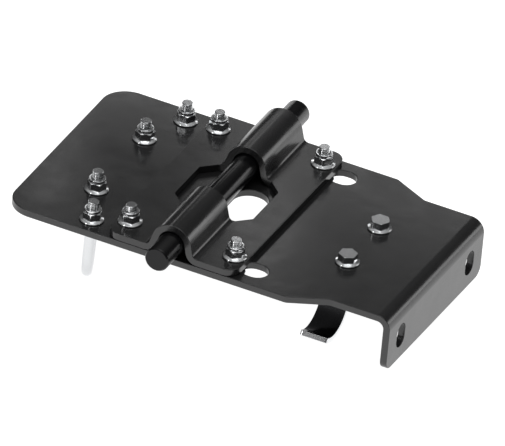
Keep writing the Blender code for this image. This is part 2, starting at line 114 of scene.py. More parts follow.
def soft_box(name, place, aim, width, height, power):
    """A rectangular light of a given size, turned to face its aim."""
    light = bpy.data.lights.new(name, "AREA")
    light.shape = "RECTANGLE"
    light.size = width
    light.size_y = height
    light.energy = power
    lamp = bpy.data.objects.new(name, light)
    lamp.location = place
    lamp.rotation_mode = "QUATERNION"
    lamp.rotation_quaternion = (Vector(aim) - Vector(place)).to_track_quat("-Z", "Y")
    bpy.context.scene.collection.objects.link(lamp)


for box in SOFT_BOXES:
    soft_box(*box)

floor_mesh = bpy.data.meshes.new("pale_floor")
reach = FLOOR_SIZE / 2
floor_corners = [(-reach, -reach, 0), (reach, -reach, 0), (reach, reach, 0), (-reach, reach, 0)]
floor_mesh.from_pydata(floor_corners, [], [(0, 1, 2, 3)])
floor = bpy.data.objects.new("pale_floor", floor_mesh)
bpy.context.scene.collection.objects.link(floor)
floor_paint = bpy.data.materials.new("pale_floor")
floor_paint.use_nodes = True
floor_shader = floor_paint.node_tree.nodes["Principled BSDF"]
floor_shader.inputs["Base Color"].default_value = FLOOR_PALE
floor_shader.inputs["Roughness"].default_value = FLOOR_ROUGHNESS
floor_shader.inputs["Specular IOR Level"].default_value = FLOOR_SHEEN
floor_shader.inputs["Emission Color"].default_value = (1.0, 1.0, 1.0, 1.0)
floor_shader.inputs["Emission Strength"].default_value = FLOOR_GLOW
floor_mesh.materials.append(floor_paint)


# Base plate ---------------------------------------------------------------------------------
# Quarter-inch steel, laser cut to its outline with slots and bolt holes, then folded down at
# the front into a flange. Gloss black powder coat covers it, cut edges too.

PLATE_THICKNESS = 0.00635
REAR_CORNER_RADIUS = 0.024
FLANGE_BEND_RADIUS = 0.00635
FLANGE_CORNER_RADIUS = 0.0095
FLANGE_INSET = 0.0172
TAPER_START = 0.0906
TAPER_END = 0.0574
TAPER_CORNER_RADIUS = 0.006
FLANGE_SLOT = (0.0225, 0.016)
FLANGE_SLOT_EDGE = 0.0255
FLANGE_SLOT_DROP = 0.0293
DRAIN_SLOT = (0.0314, 0.053)
DRAIN_SLOT_OFFSET = 0.0181
SIDE_SLOT = (0.0244, 0.0216)
SIDE_SLOT_OFFSET = 0.008
HOLE_RADIUS = 0.00521
CUT_EDGE_ROUND = 0.0006
HOLE_POINTS = 48
SLOT_END_SHARE = 0.9999
ROUND_STEPS = 4
EDGE_STEP = 0.0013
BEND_GRID = 0.008
BEND_ROWS_PER_RADIAN = 12
SAME_POINT = 1e-6
TINY = 1e-9


def soft_outline(corners, step):
    """Points round an outline of (x, y, radius) corners.

    Each corner is the arc that touches both of its sides. Arcs and straights are then divided
    evenly into lengths no longer than the step.
    """
    places = np.array([corner[:2] for corner in corners])
    radii = np.array([corner[2] for corner in corners])
    back = np.roll(places, 1, axis=0) - places
    ahead = np.roll(places, -1, axis=0) - places
    back /= np.linalg.norm(back, axis=1)[:, None]
    ahead /= np.linalg.norm(ahead, axis=1)[:, None]
    half = np.arccos(np.clip((back * ahead).sum(axis=1), -1, 1)) / 2
    middle = (back + ahead) / np.linalg.norm(back + ahead, axis=1)[:, None]
    centres = places + middle * (radii / np.sin(half))[:, None]
    starts = places + back * (radii / np.tan(half))[:, None]
    ends = places + ahead * (radii / np.tan(half))[:, None]
    cross = back[:, 1] * ahead[:, 0] - back[:, 0] * ahead[:, 1]
    turns = np.copysign(math.pi - 2 * half, cross)
    runs = []
    for i, turn in enumerate(turns):
        count = math.ceil(abs(turn) * radii[i] / step)
        angles = turn * np.arange(count) / max(count, 1)
        arm = starts[i] - centres[i]
        cosines, sines = np.cos(angles), np.sin(angles)
        arc = np.stack([cosines * arm[0] - sines * arm[1], sines * arm[0] + cosines * arm[1]], 1)
        runs.append(centres[i] + arc)
        side = starts[(i + 1) % len(starts)] - ends[i]
        count = max(1, math.ceil(np.linalg.norm(side) / step))
        runs.append(ends[i] + side * (np.arange(count) / count)[:, None])
    points = np.concatenate(runs)
    apart = np.linalg.norm(points - np.roll(points, 1, axis=0), axis=1) > SAME_POINT
    return points[apart]


def round_hole(x, y, radius):
    """A circle of points, clockwise as a hole's edge runs."""
    angles = -np.arange(HOLE_POINTS) * 2 * math.pi / HOLE_POINTS
    return np.stack([x + radius * np.cos(angles), y + radius * np.sin(angles)], axis=1)


def slot_hole(x, y, size):
    """A slot with full round ends, clockwise as a hole's edge runs."""
    half_x, half_y = size[0] / 2, size[1] / 2
    radius = min(half_x, half_y) * SLOT_END_SHARE
    signs = ((-1, 1), (1, 1), (1, -1), (-1, -1))
    return soft_outline([(x + a * half_x, y + b * half_y, radius) for a, b in signs], EDGE_STEP)


def fold(pattern, height, start, moves):
    """Where points of a flat pattern lie once the sheet is bent, and how far it has turned there.

    The pattern gives (distance, width). A straight move carries the middle line on along its
    heading; a bend swings it round a centre on its square. Height is measured square to the
    middle line, so (along, up) is the middle line's point plus height times its normal.
    """
    distance = pattern[:, 0]
    along, up, heading = np.zeros_like(distance), np.zeros_like(distance), np.zeros_like(distance)
    at_along, at_up, at_heading, begun = start[0], start[1], 0.0, 0.0
    for size, turn in moves:
        here = distance >= begun - TINY
        travel = distance[here] - begun
        length = size * abs(turn) if turn else size
        side = math.copysign(1.0, turn)
        if turn:
            centre_along = at_along - side * size * math.sin(at_heading)
            centre_up = at_up + side * size * math.cos(at_heading)
            angle = at_heading + side * travel / size
            along[here] = centre_along + side * size * np.sin(angle)
            up[here] = centre_up - side * size * np.cos(angle)
            heading[here] = angle
            at_heading += turn
            at_along = centre_along + side * size * math.sin(at_heading)
            at_up = centre_up - side * size * math.cos(at_heading)
        else:
            along[here] = at_along + travel * math.cos(at_heading)
            up[here] = at_up + travel * math.sin(at_heading)
            heading[here] = at_heading
            at_along += length * math.cos(at_heading)
            at_up += length * math.sin(at_heading)
        begun += length
    return along - height * np.sin(heading), up + height * np.cos(heading), heading


def inside_loops(points, loops):
    """Even-odd test: a point is inside if a ray from it crosses the loops an odd number of times."""
    odd = np.zeros(len(points), bool)
    for loop in loops:
        nxt = np.roll(loop, -1, axis=0)
        spans = (loop[None, :, 1] > points[:, None, 1]) != (nxt[None, :, 1] > points[:, None, 1])
        rise = np.where(nxt[:, 1] == loop[:, 1], 1.0, nxt[:, 1] - loop[:, 1])
        slope = (nxt[:, 0] - loop[:, 0]) / rise
        reach_x = loop[None, :, 0] + (points[:, None, 1] - loop[None, :, 1]) * slope[None]
        odd ^= ((spans & (points[:, None, 0] < reach_x)).sum(axis=1) % 2).astype(bool)
    return odd


def bent_plate(name, outline, holes, start, moves, thickness, axes):
    """A sheet cut to loops in (distance, width) and bent along its moves, with softened edges.

    Each loop's edge is a grid: its own points one way, and across the thickness a quarter round,
    a straight wall and another quarter round. The two faces are filled between the grids' outer
    rows, with extra points where the sheet bends. axes turns (along, width, up) into X, Y, Z.
    """
    loops = [outline, *holes]
    quarter = np.linspace(math.pi / 2, 0, ROUND_STEPS + 1)
    slant = np.concatenate([quarter, -quarter[::-1]])
    inset = CUT_EDGE_ROUND * (np.cos(slant) - 1)
    level = np.sign(slant + TINY) * (thickness / 2 - CUT_EDGE_ROUND) + CUT_EDGE_ROUND * np.sin(slant)
    level[ROUND_STEPS + 1 :] = -level[: ROUND_STEPS + 1][::-1]
    rows = len(slant)

    flat, heights, normals, quads, runs = [], [], [], [], []
    rims, count = [], 0
    for loop in loops:
        tangent = np.roll(loop, -1, axis=0) - np.roll(loop, 1, axis=0)
        tangent /= np.linalg.norm(tangent, axis=1)[:, None]
        away = np.stack([tangent[:, 1], -tangent[:, 0]], axis=1)
        grid = loop[None] + inset[:, None, None] * away[None]
        size = len(loop)
        flat.append(grid.reshape(-1, 2))
        heights.append(np.repeat(level, size))
        tilt = np.cos(slant)[:, None, None] * away[None]
        lift = np.broadcast_to(np.sin(slant)[:, None, None], (rows, size, 1))
        normals.append(np.concatenate([tilt, lift], axis=2).reshape(-1, 3))
        lengths = np.linalg.norm(np.roll(loop, -1, axis=0) - loop, axis=1)
        runs.append(np.tile(np.cumsum(lengths), rows))
        index = count + np.arange(rows * size).reshape(rows, size)
        nxt = np.roll(index, -1, axis=1)
        quads.append(np.stack([index[:-1], index[1:], nxt[1:], nxt[:-1]], axis=-1).reshape(-1, 4))
        rims.append((index[0], index[-1]))
        count += rows * size

    # Points inside the faces, in rows wherever the sheet bends
    low, high = outline.min(axis=0), outline.max(axis=0)
    bends, begun = [], 0.0
    for size, turn in moves:
        length = size * abs(turn) if turn else size
        if turn:
            row_count = math.ceil(abs(turn) * BEND_ROWS_PER_RADIAN) + 1
            bends.append(begun + length * np.linspace(0, 1, row_count))
        begun += length
    widths = np.arange(low[1] + BEND_GRID / 2, high[1], BEND_GRID)
    grid = np.array(np.meshgrid(np.unique(np.concatenate(bends).round(6)), widths)).reshape(2, -1).T
    clear = inside_loops(grid, loops)
    for loop in loops:
        gaps = np.linalg.norm(grid[:, None] - loop[None], axis=2).min(axis=1)
        clear &= gaps > EDGE_STEP
    inner = grid[clear]

    top_ring = np.concatenate([top for top, _ in rims])
    low_ring = np.concatenate([bottom for _, bottom in rims])
    all_flat = np.concatenate(flat)
    fill_points = np.concatenate([all_flat[top_ring], inner])
    edges, first = [], 0
    for top, _ in rims:
        ring = first + np.arange(len(top))
        edges.append(np.stack([ring, np.roll(ring, -1)], axis=1))
        first += len(top)
    corners = [Vector(point) for point in fill_points]
    filled = delaunay_2d_cdt(corners, np.concatenate(edges).tolist(), [], 1, TINY)
    triangles = np.array([face for face in filled[2] if len(face) == 3])
    source = np.array([origins[0] for origins in filled[3]])
    triangles = source[triangles]
    middles = fill_points[triangles].mean(axis=1)
    inset_loops = [all_flat[top] for top, _ in rims]
    triangles = triangles[inside_loops(middles, inset_loops)]

    inner_count = len(inner)
    top_index = np.concatenate([top_ring, count + np.arange(inner_count)])
    low_index = np.concatenate([low_ring, count + inner_count + np.arange(inner_count)])
    pattern = np.concatenate([all_flat, inner, inner])
    upper_heights = np.full(inner_count, thickness / 2)
    height = np.concatenate([*heights, upper_heights, -upper_heights])
    up_normals = np.tile([0.0, 0.0, 1.0], (inner_count, 1))
    flat_normals = np.concatenate([*normals, up_normals, -up_normals])
    run = np.concatenate([*runs, np.zeros(2 * inner_count)])

    along, up, heading = fold(pattern, height, start, moves)
    points = np.stack([along, pattern[:, 1], up], axis=1) @ np.array(axes).T
    cosine, sine = np.cos(heading), np.sin(heading)
    turned = np.stack(
        [
            flat_normals[:, 0] * cosine - flat_normals[:, 2] * sine,
            flat_normals[:, 1],
            flat_normals[:, 0] * sine + flat_normals[:, 2] * cosine,
        ],
        axis=1,
    ) @ np.array(axes).T
    faces = [*np.concatenate(quads).tolist(), *top_index[triangles].tolist()]
    faces += low_index[triangles][:, ::-1].tolist()
    if np.linalg.det(np.array(axes)) < 0:
        faces = [face[::-1] for face in faces]

    mesh = bpy.data.meshes.new(name)
    mesh.from_pydata(points, [], faces)
    mesh.shade_smooth()
    mesh.normals_split_custom_set_from_vertices(turned)
    wall = mesh.attributes.new("cut_edge", "FLOAT", "POINT")
    wall.data.foreach_set("value", (1 - np.abs(flat_normals[:, 2])).astype(np.float32))
    length = mesh.attributes.new("edge_run", "FLOAT", "POINT")
    length.data.foreach_set("value", run.astype(np.float32))
    piece = bpy.data.objects.new(name, mesh)
    bpy.context.scene.collection.objects.link(piece)
    return piece


def value_node(tree, kind, **settings):
    """A shader node with some of its settings made."""
    node = tree.nodes.new(kind)
    for key, value in settings.items():
        setattr(node, key, value)
    return node


def noise_at(tree, place, scale, detail, roughness=0.5):
    """Noise of a given number of features in a metre, in the piece's own coordinates."""
    noise = value_node(tree, "ShaderNodeTexNoise")
    noise.inputs["Scale"].default_value = scale
    noise.inputs["Detail"].default_value = detail
    noise.inputs["Roughness"].default_value = roughness
    tree.links.new(place, noise.inputs["Vector"])
    return noise.outputs["Fac"]


def spread(tree, value, low, high, to_low, to_high):
    """Map a range of a value onto another, held at its ends."""
    remap = value_node(tree, "ShaderNodeMapRange")
    tree.links.new(value, remap.inputs["Value"])
    for socket, number in zip(("From Min", "From Max", "To Min", "To Max"), (low, high, to_low, to_high)):
        remap.inputs[socket].default_value = number
    return remap.outputs["Result"]


def calculate(tree, operation, first, second):
    """A Math node on two sockets or numbers."""
    node = value_node(tree, "ShaderNodeMath", operation=operation)
    for socket, source in zip(node.inputs, (first, second)):
        if isinstance(source, (int, float)):
            socket.default_value = source
        else:
            tree.links.new(source, socket)
    return node.outputs["Value"]


def new_group(name, inputs, outputs):
    """An empty node group with float inputs and float or colour outputs, and its two end nodes."""
    tree = bpy.data.node_groups.new(name, "ShaderNodeTree")
    for label, number in inputs.items():
        socket = tree.interface.new_socket(label, in_out="INPUT", socket_type="NodeSocketFloat")
        socket.default_value = number
    for label, kind in outputs.items():
        tree.interface.new_socket(label, in_out="OUTPUT", socket_type=kind)
    return tree, tree.nodes.new("NodeGroupInput"), tree.nodes.new("NodeGroupOutput")


# Powder coat: orange peel about a millimetre and a half across, broad sheet waves, faint dust
# and the fine upright ripple that a laser leaves on a cut edge under the paint. Each noise gives
# its features in a metre, its detail and, where it isn't a half, its roughness.
PEEL_NOISE = (620.0, 2.0)
PEEL_DEPTH = 0.06
WAVE_NOISE = (62.0, 2.5, 0.55)
RIPPLE_RATE = 9000.0
RIPPLE_BREAK_NOISE = (420.0, 3.0)
RIPPLE_DEPTH = 0.05
HAZE_NOISE = (24.0, 5.0, 0.6)
HAZE_RANGE = (0.3, 0.7)
SPECK_NOISE = (1500.0, 3.0, 0.7)
SPECK_RANGE = (0.66, 0.78)
PATCH_NOISE = (15.0, 4.0, 0.6)
PATCH_RANGE = (0.42, 0.75)
COAT_BUMP = 0.0001
COAT_IOR = 1.6

coat_group, coat_in, coat_out = new_group(
    "powder_coat",
    {"Peel": 1.0, "Waves": 1.0, "Dust": 1.0, "Ripple": 1.0},
    {"Height": "NodeSocketFloat", "Haze": "NodeSocketFloat", "Dust": "NodeSocketFloat"},
)
coat_place = coat_group.nodes.new("ShaderNodeTexCoord").outputs["Object"]
peel = noise_at(coat_group, coat_place, *PEEL_NOISE)
waves = noise_at(coat_group, coat_place, *WAVE_NOISE)
cut_edge = value_node(coat_group, "ShaderNodeAttribute", attribute_name="cut_edge").outputs["Fac"]
edge_run = value_node(coat_group, "ShaderNodeAttribute", attribute_name="edge_run").outputs["Fac"]
ripple_phase = calculate(coat_group, "MULTIPLY", edge_run, RIPPLE_RATE)
ripple_wave = calculate(coat_group, "SINE", ripple_phase, 0.0)
ripple_breaks = noise_at(coat_group, coat_place, *RIPPLE_BREAK_NOISE)
ripple = calculate(coat_group, "MULTIPLY", ripple_wave, ripple_breaks)
ripple = calculate(coat_group, "MULTIPLY", ripple, cut_edge)
peel_depth = calculate(coat_group, "MULTIPLY", coat_in.outputs["Peel"], PEEL_DEPTH)
ripple_depth = calculate(coat_group, "MULTIPLY", coat_in.outputs["Ripple"], RIPPLE_DEPTH)
peel_height = calculate(coat_group, "MULTIPLY", peel, peel_depth)
wave_height = calculate(coat_group, "MULTIPLY", waves, coat_in.outputs["Waves"])
ripple_height = calculate(coat_group, "MULTIPLY", ripple, ripple_depth)
coat_height = calculate(coat_group, "ADD", peel_height, wave_height)
coat_height = calculate(coat_group, "ADD", coat_height, ripple_height)
coat_group.links.new(coat_height, coat_out.inputs["Height"])
haze = noise_at(coat_group, coat_place, *HAZE_NOISE)
coat_group.links.new(haze, coat_out.inputs["Haze"])
speck_noise = noise_at(coat_group, coat_place, *SPECK_NOISE)
specks = spread(coat_group, speck_noise, *SPECK_RANGE, 0.0, 1.0)
patch_noise = noise_at(coat_group, coat_place, *PATCH_NOISE)
patches = spread(coat_group, patch_noise, *PATCH_RANGE, 0.0, 1.0)
dust = calculate(coat_group, "MULTIPLY", specks, patches)
dust = calculate(coat_group, "MULTIPLY", dust, coat_in.outputs["Dust"])
coat_group.links.new(dust, coat_out.inputs["Dust"])


def powder_coat(name, black, dust_grey, gloss, haze_depth, amounts):
    """Black powder coat: a dark base whose gloss drifts a little, over the shared coat texture."""
    paint = bpy.data.materials.new(name)
    paint.use_nodes = True
    tree = paint.node_tree
    shader = tree.nodes["Principled BSDF"]
    coat = value_node(tree, "ShaderNodeGroup", node_tree=coat_group)
    for label, number in amounts.items():
        coat.inputs[label].default_value = number
    tint = value_node(tree, "ShaderNodeMix", data_type="RGBA")
    tint.inputs["A"].default_value = (*black, 1.0)
    tint.inputs["B"].default_value = (*dust_grey, 1.0)
    tree.links.new(coat.outputs["Dust"], tint.inputs["Factor"])
    tree.links.new(tint.outputs["Result"], shader.inputs["Base Color"])
    shine = spread(tree, coat.outputs["Haze"], *HAZE_RANGE, gloss, gloss + haze_depth)
    tree.links.new(shine, shader.inputs["Roughness"])
    bump = value_node(tree, "ShaderNodeBump")
    bump.inputs["Strength"].default_value = 1.0
    bump.inputs["Distance"].default_value = COAT_BUMP
    tree.links.new(coat.outputs["Height"], bump.inputs["Height"])
    tree.links.new(bump.outputs["Normal"], shader.inputs["Normal"])
    shader.inputs["IOR"].default_value = COAT_IOR
    return paint


def dress(piece, material, body, node):
    """Give a finished piece its material, its body and the CAD node it stands for."""
    piece.data.materials.append(material)
    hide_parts(node)
    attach(piece, body)


UPRIGHT = ((1, 0, 0), (0, 1, 0), (0, 0, 1))
plate_low, plate_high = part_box("base_plate")
saddle_low, saddle_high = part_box("saddle_plate")
shaft_low, shaft_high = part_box("cross_shaft")
plate_length = plate_high.x - plate_low.x
half_width = plate_high.y
front_half_width = half_width - FLANGE_INSET
shaft_x = (shaft_low.x + shaft_high.x) / 2
shaft_z = (shaft_low.z + shaft_high.z) / 2
bend_middle = FLANGE_BEND_RADIUS + PLATE_THICKNESS / 2
bend_outer = FLANGE_BEND_RADIUS + PLATE_THICKNESS
flange_straight = plate_high.z - plate_low.z - bend_outer
plate_moves = [(plate_length - bend_outer, 0), (bend_middle, -math.pi / 2), (flange_straight, 0)]
plate_end = plate_length - bend_outer + bend_middle * math.pi / 2 + flange_straight

one_side = [
    (plate_end, front_half_width, FLANGE_CORNER_RADIUS),
    (plate_length - TAPER_END, front_half_width, TAPER_CORNER_RADIUS),
    (plate_length - TAPER_START, half_width, TAPER_CORNER_RADIUS),
    (0.0, half_width, REAR_CORNER_RADIUS),
]
other_side = [(distance, -width, radius) for distance, width, radius in reversed(one_side)]
plate_outline = soft_outline(one_side + other_side, EDGE_STEP)

fastener_names = [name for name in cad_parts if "_nut_" in name or name.startswith("hook_bolt")]
plate_holes = []
for fastener in fastener_names:
    low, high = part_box(fastener)
    hole_x, hole_y = (low.x + high.x) / 2, (low.y + high.y) / 2
    if not fastener.startswith("hook_nut"):
        plate_holes.append(round_hole(hole_x - plate_low.x, hole_y, HOLE_RADIUS))
saddle_bolt_low, saddle_bolt_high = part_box("saddle_bolt_left_front")
saddle_bolt_y = (saddle_bolt_low.y + saddle_bolt_high.y) / 2
slot_distance = plate_end - (plate_high.z - plate_low.z - FLANGE_SLOT_DROP)
plate_holes.append(slot_hole(shaft_x - plate_low.x + DRAIN_SLOT_OFFSET, 0.0, DRAIN_SLOT))
for side in (1, -1):
    plate_holes.append(slot_hole(slot_distance, side * (front_half_width - FLANGE_SLOT_EDGE), FLANGE_SLOT))
    side_slot_x = saddle_high.x - plate_low.x + SIDE_SLOT_OFFSET
    plate_holes.append(slot_hole(side_slot_x, side * saddle_bolt_y, SIDE_SLOT))

base_plate = bent_plate(
    "base_plate_coated",
    plate_outline,
    plate_holes,
    (plate_low.x, plate_high.z - PLATE_THICKNESS / 2),
    plate_moves,
    PLATE_THICKNESS,
    UPRIGHT,
)
PLATE_BLACK = (0.015, 0.015, 0.0155)
DUST_GREY = (0.05, 0.05, 0.05)
PLATE_GLOSS = 0.16
PLATE_GLOSS_DRIFT = 0.10
PLATE_TEXTURE = {"Peel": 1.0, "Waves": 1.0, "Dust": 0.6}
plate_paint = powder_coat(
    "gloss_black_coat", PLATE_BLACK, DUST_GREY, PLATE_GLOSS, PLATE_GLOSS_DRIFT, PLATE_TEXTURE
)
dress(base_plate, plate_paint, "plates", "base_plate")


# Saddle plate -------------------------------------------------------------------------------
# A second quarter-inch plate across the first, pressed up in the middle into an arch that
# carries the shaft, with an eight-sided window cut through the arch. Same black powder coat.

SADDLE_CORNER_RADIUS = 0.012
WINDOW_LENGTH = 0.0734
WINDOW_WIDTH = 0.0736
WINDOW_CHAMFER = 0.0122
WINDOW_CORNER_RADIUS = 0.0012
ARCH_CLEARANCE = 0.00095
ARCH_LEG_LEAN = math.radians(15.0)
ARCH_FOOT_RADIUS = 0.005

foot_middle = ARCH_FOOT_RADIUS + PLATE_THICKNESS / 2
shaft_radius = (shaft_high.z - shaft_low.z) / 2
arch_middle = shaft_radius + ARCH_CLEARANCE + PLATE_THICKNESS / 2
rise = math.pi / 2 - ARCH_LEG_LEAN
saddle_middle_z = saddle_low.z + PLATE_THICKNESS / 2
leg_rise = shaft_z - saddle_middle_z + arch_middle * math.cos(rise) - foot_middle * (1 - math.cos(rise))
leg = leg_rise / math.sin(rise)
half_span = (foot_middle + arch_middle) * math.sin(rise) + leg * math.cos(rise)
saddle_flat = (saddle_high.x - saddle_low.x) / 2 - half_span
saddle_moves = [(saddle_flat, 0), (foot_middle, rise), (leg, 0), (arch_middle, -2 * rise)]
saddle_moves += [(leg, 0), (foot_middle, rise), (saddle_flat, 0)]
saddle_run = 2 * (saddle_flat + leg + foot_middle * rise + arch_middle * rise)
saddle_middle = saddle_run / 2
stretch = saddle_middle - (saddle_high.x - saddle_low.x) / 2

saddle_corners = ((0.0, -1), (saddle_run, -1), (saddle_run, 1), (0.0, 1))
saddle_rounded = [(s, y * half_width, SADDLE_CORNER_RADIUS) for s, y in saddle_corners]
saddle_outline = soft_outline(saddle_rounded, EDGE_STEP)
window_reach = WINDOW_LENGTH / 2 + stretch
window_side = WINDOW_WIDTH / 2
window_long, window_short = window_reach - WINDOW_CHAMFER, window_side - WINDOW_CHAMFER
window_corners = [(-window_reach, window_short), (-window_long, window_side)]
window_corners += [(window_long, window_side), (window_reach, window_short)]
window_corners += [(window_reach, -window_short), (window_long, -window_side)]
window_corners += [(-window_long, -window_side), (-window_reach, -window_short)]
window = soft_outline([(saddle_middle + s, y, WINDOW_CORNER_RADIUS) for s, y in window_corners], EDGE_STEP)
saddle_holes = [window]
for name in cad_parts:
    if name.startswith("saddle_nut"):
        low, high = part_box(name)
        offset = (low.x + high.x) / 2 - shaft_x
        hole_s = saddle_middle + offset + math.copysign(stretch, offset)
        saddle_holes.append(round_hole(hole_s, (low.y + high.y) / 2, HOLE_RADIUS))

saddle_plate = bent_plate(
    "saddle_plate_coated",
    saddle_outline,
    saddle_holes,
    (saddle_low.x, saddle_middle_z),
    saddle_moves,
    PLATE_THICKNESS,
    UPRIGHT,
)
dress(saddle_plate, plate_paint, "plates", "saddle_plate")


# Cross shaft --------------------------------------------------------------------------------
# A round steel bar cut to length, chamfered at both ends and coated black. It lies between the
# two plates, under the arch, and its stubs stand out at each side for the arms that swing on it.

SHAFT_CHAMFER = 0.0012
SHAFT_COLUMNS = 96
SHAFT_IOR = 1.35
SHAFT_BLACK = (0.004, 0.004, 0.0045)
SHAFT_GLOSS = 0.16
SHAFT_GLOSS_DRIFT = 0.08
SHAFT_TEXTURE = {"Peel": 0.7, "Waves": 0.3, "Dust": 0.6, "Ripple": 0.0}
SHAFT_FACE_SHARES = (0.25, 0.5, 0.75)
SHAFT_EDGE = ((1.0, 0.0), (0.12, 0.88), (0.0, 1.15))  # inward and along, in chamfers
SHARP_ANGLE = math.radians(28.0)


def skin(name, rings, low_pole=None, high_pole=None, closed_rows=False):
    """Skin a grid of points, rings by places round the ring, closed round each ring.

    A pole closes an end of the grid with a fan. Rows joined last to first make a bored ring.
    """
    rows, columns = rings.shape[:2]
    index = np.arange(rows * columns).reshape(rows, columns)
    lower, upper = index[:-1], index[1:]
    if closed_rows:
        lower, upper = index, np.roll(index, -1, axis=0)
    nxt_lower, nxt_upper = np.roll(lower, -1, axis=1), np.roll(upper, -1, axis=1)
    faces = np.stack([lower, nxt_lower, nxt_upper, upper], axis=-1).reshape(-1, 4).tolist()
    points = rings.reshape(-1, 3)
    for pole, ring, flip in ((low_pole, index[0], True), (high_pole, index[-1], False)):
        if pole is None:
            continue
        points = np.vstack([points, pole])
        ends = np.full(columns, len(points) - 1)
        fan = np.stack([ring, np.roll(ring, -1), ends], axis=1)
        faces += (fan[:, ::-1] if flip else fan).tolist()
    mesh = bpy.data.meshes.new(name)
    mesh.from_pydata(points, [], faces)
    mesh.shade_smooth()
    mesh.set_sharp_from_angle(angle=SHARP_ANGLE)
    return mesh


def turned_rings(profile, columns):
    """A profile of (radius, height) rows turned about Z: x = r cos a, y = r sin a, z = height."""
    angles = np.arange(columns) * 2 * math.pi / columns
    radius, height = np.array(profile).T
    return np.stack(
        [
            radius[:, None] * np.cos(angles),
            radius[:, None] * np.sin(angles),
            np.broadcast_to(height[:, None], (len(radius), columns)),
        ],
        axis=-1,
    )


def place_mesh(name, mesh, place, turn=Matrix.Identity(4)):
    """An object at the origin whose mesh has been turned and moved to its place."""
    mesh.transform(Matrix.Translation(place) @ turn)
    piece = bpy.data.objects.new(name, mesh)
    bpy.context.scene.collection.objects.link(piece)
    return piece


shaft_half = shaft_high.y
face_rings = [(shaft_radius * share, 0.0) for share in SHAFT_FACE_SHARES]
shaft_end = []
for inward, along in SHAFT_EDGE:
    shaft_end.append((shaft_radius - SHAFT_CHAMFER * inward, SHAFT_CHAMFER * along))
near_end = [(radius, height - shaft_half) for radius, height in face_rings + shaft_end]
far_end = [(radius, shaft_half - height) for radius, height in reversed(face_rings + shaft_end)]
shaft_mesh = skin(
    "cross_shaft_bar",
    turned_rings(near_end + far_end, SHAFT_COLUMNS),
    low_pole=(0.0, 0.0, -shaft_half),
    high_pole=(0.0, 0.0, shaft_half),
)
cross_shaft = place_mesh(
    "cross_shaft_bar", shaft_mesh, (shaft_x, 0.0, shaft_z), Matrix.Rotation(math.pi / 2, 4, "X")
)
shaft_paint = powder_coat(
    "satin_black_coat", SHAFT_BLACK, DUST_GREY, SHAFT_GLOSS, SHAFT_GLOSS_DRIFT, SHAFT_TEXTURE
)
shaft_paint.node_tree.nodes["Principled BSDF"].inputs["IOR"].default_value = SHAFT_IOR
dress(cross_shaft, shaft_paint, "shaft", "cross_shaft")


# Saddle bolts and lock nuts -----------------------------------------------------------------
# Cold-headed flange bolts with rolled threads come up through both plates, and flanged lock
# nuts with a nylon ring under a round crown close them. All bright zinc plated.

THREAD_RADIUS = 0.0047625
THREAD_PITCH = 0.0015875
THREAD_DEPTH = 0.0003
THREAD_CHAMFER = 0.0005
HEX_WIDTH = 0.014805
SEAT_RADIUS = 0.01065
SEAT_THICKNESS = 0.0012
SEAT_CONE_HEIGHT = 0.0009
HEX_SOFTNESS = 0.00016
HEAD_HEIGHT = 0.0087
NUT_HEX_TOP = 0.0087
NUT_HEIGHT = 0.0116
CROWN_RADIUS = 0.0073
CROWN_LIP = 0.00035
CROWN_MOUTH = 0.0056
CROWN_ROOF = 0.0007
POCKET_DEPTH = 0.0035
HEX_EDGE_ROUND = 0.00018
HEAD_CHAMFER_TOP = 0.0005
BORE_RADIUS = 0.00506
INSERT_HEIGHT = 0.0019
INSERT_RADIUS = 0.006
POCKET_RADIUS = 0.0063
SHADE_COLUMNS = 12
HEX_CORNER_SHARE = 1.135
HEX_CHAMFER_ANGLE = math.radians(30.0)
RIM_SQUASH = 0.7
RIM_STEPS = 9
CONE_REACH = 1.4
CONE_ROWS = 10
WALL_START = 1.5
WALL_END = 0.0013
WALL_ROWS = 5
CHAMFER_START = 0.0012
CHAMFER_ROWS = 12
GROOVE_LIFT = 0.0001
COLLAR_PROFILE = ((0.0007, 0.0), (0.0009, 0.0002), (0.0007, 0.0004), (0.0001, 0.0005))
CROWN_WALL_LIFT = 0.0007
CROWN_WALL_STOP = 1.2
LIP_STEPS = 8
MOUTH_EASE = 0.0002
ROOF_EASE = 0.0003
BORE_CHAMFER = 0.0006
THREAD_COLUMNS = 36
THREAD_ROWS = 9
THREAD_FLANK = 1.25
THREAD_CREST = 0.1
UNDER_HEAD = 0.0001
HEAD_TOP_SHARES = (0.97, 0.7, 0.4)


def soft_min(first, second, width):
    """The smaller of two arrays, blended over a width where they cross."""
    blend = np.clip(0.5 + 0.5 * (second - first) / width, 0, 1)
    return second * (1 - blend) + first * blend - width * blend * (1 - blend)


def hex_angles():
    """Angles round a hexagon, closer together towards its corners by a sine law."""
    offsets = np.linspace(-1, 1, SHADE_COLUMNS, endpoint=False)
    sixths = np.arange(6)[:, None] * math.pi / 3
    return (sixths + math.pi / 6 * np.sin(offsets * math.pi / 2)[None]).ravel()


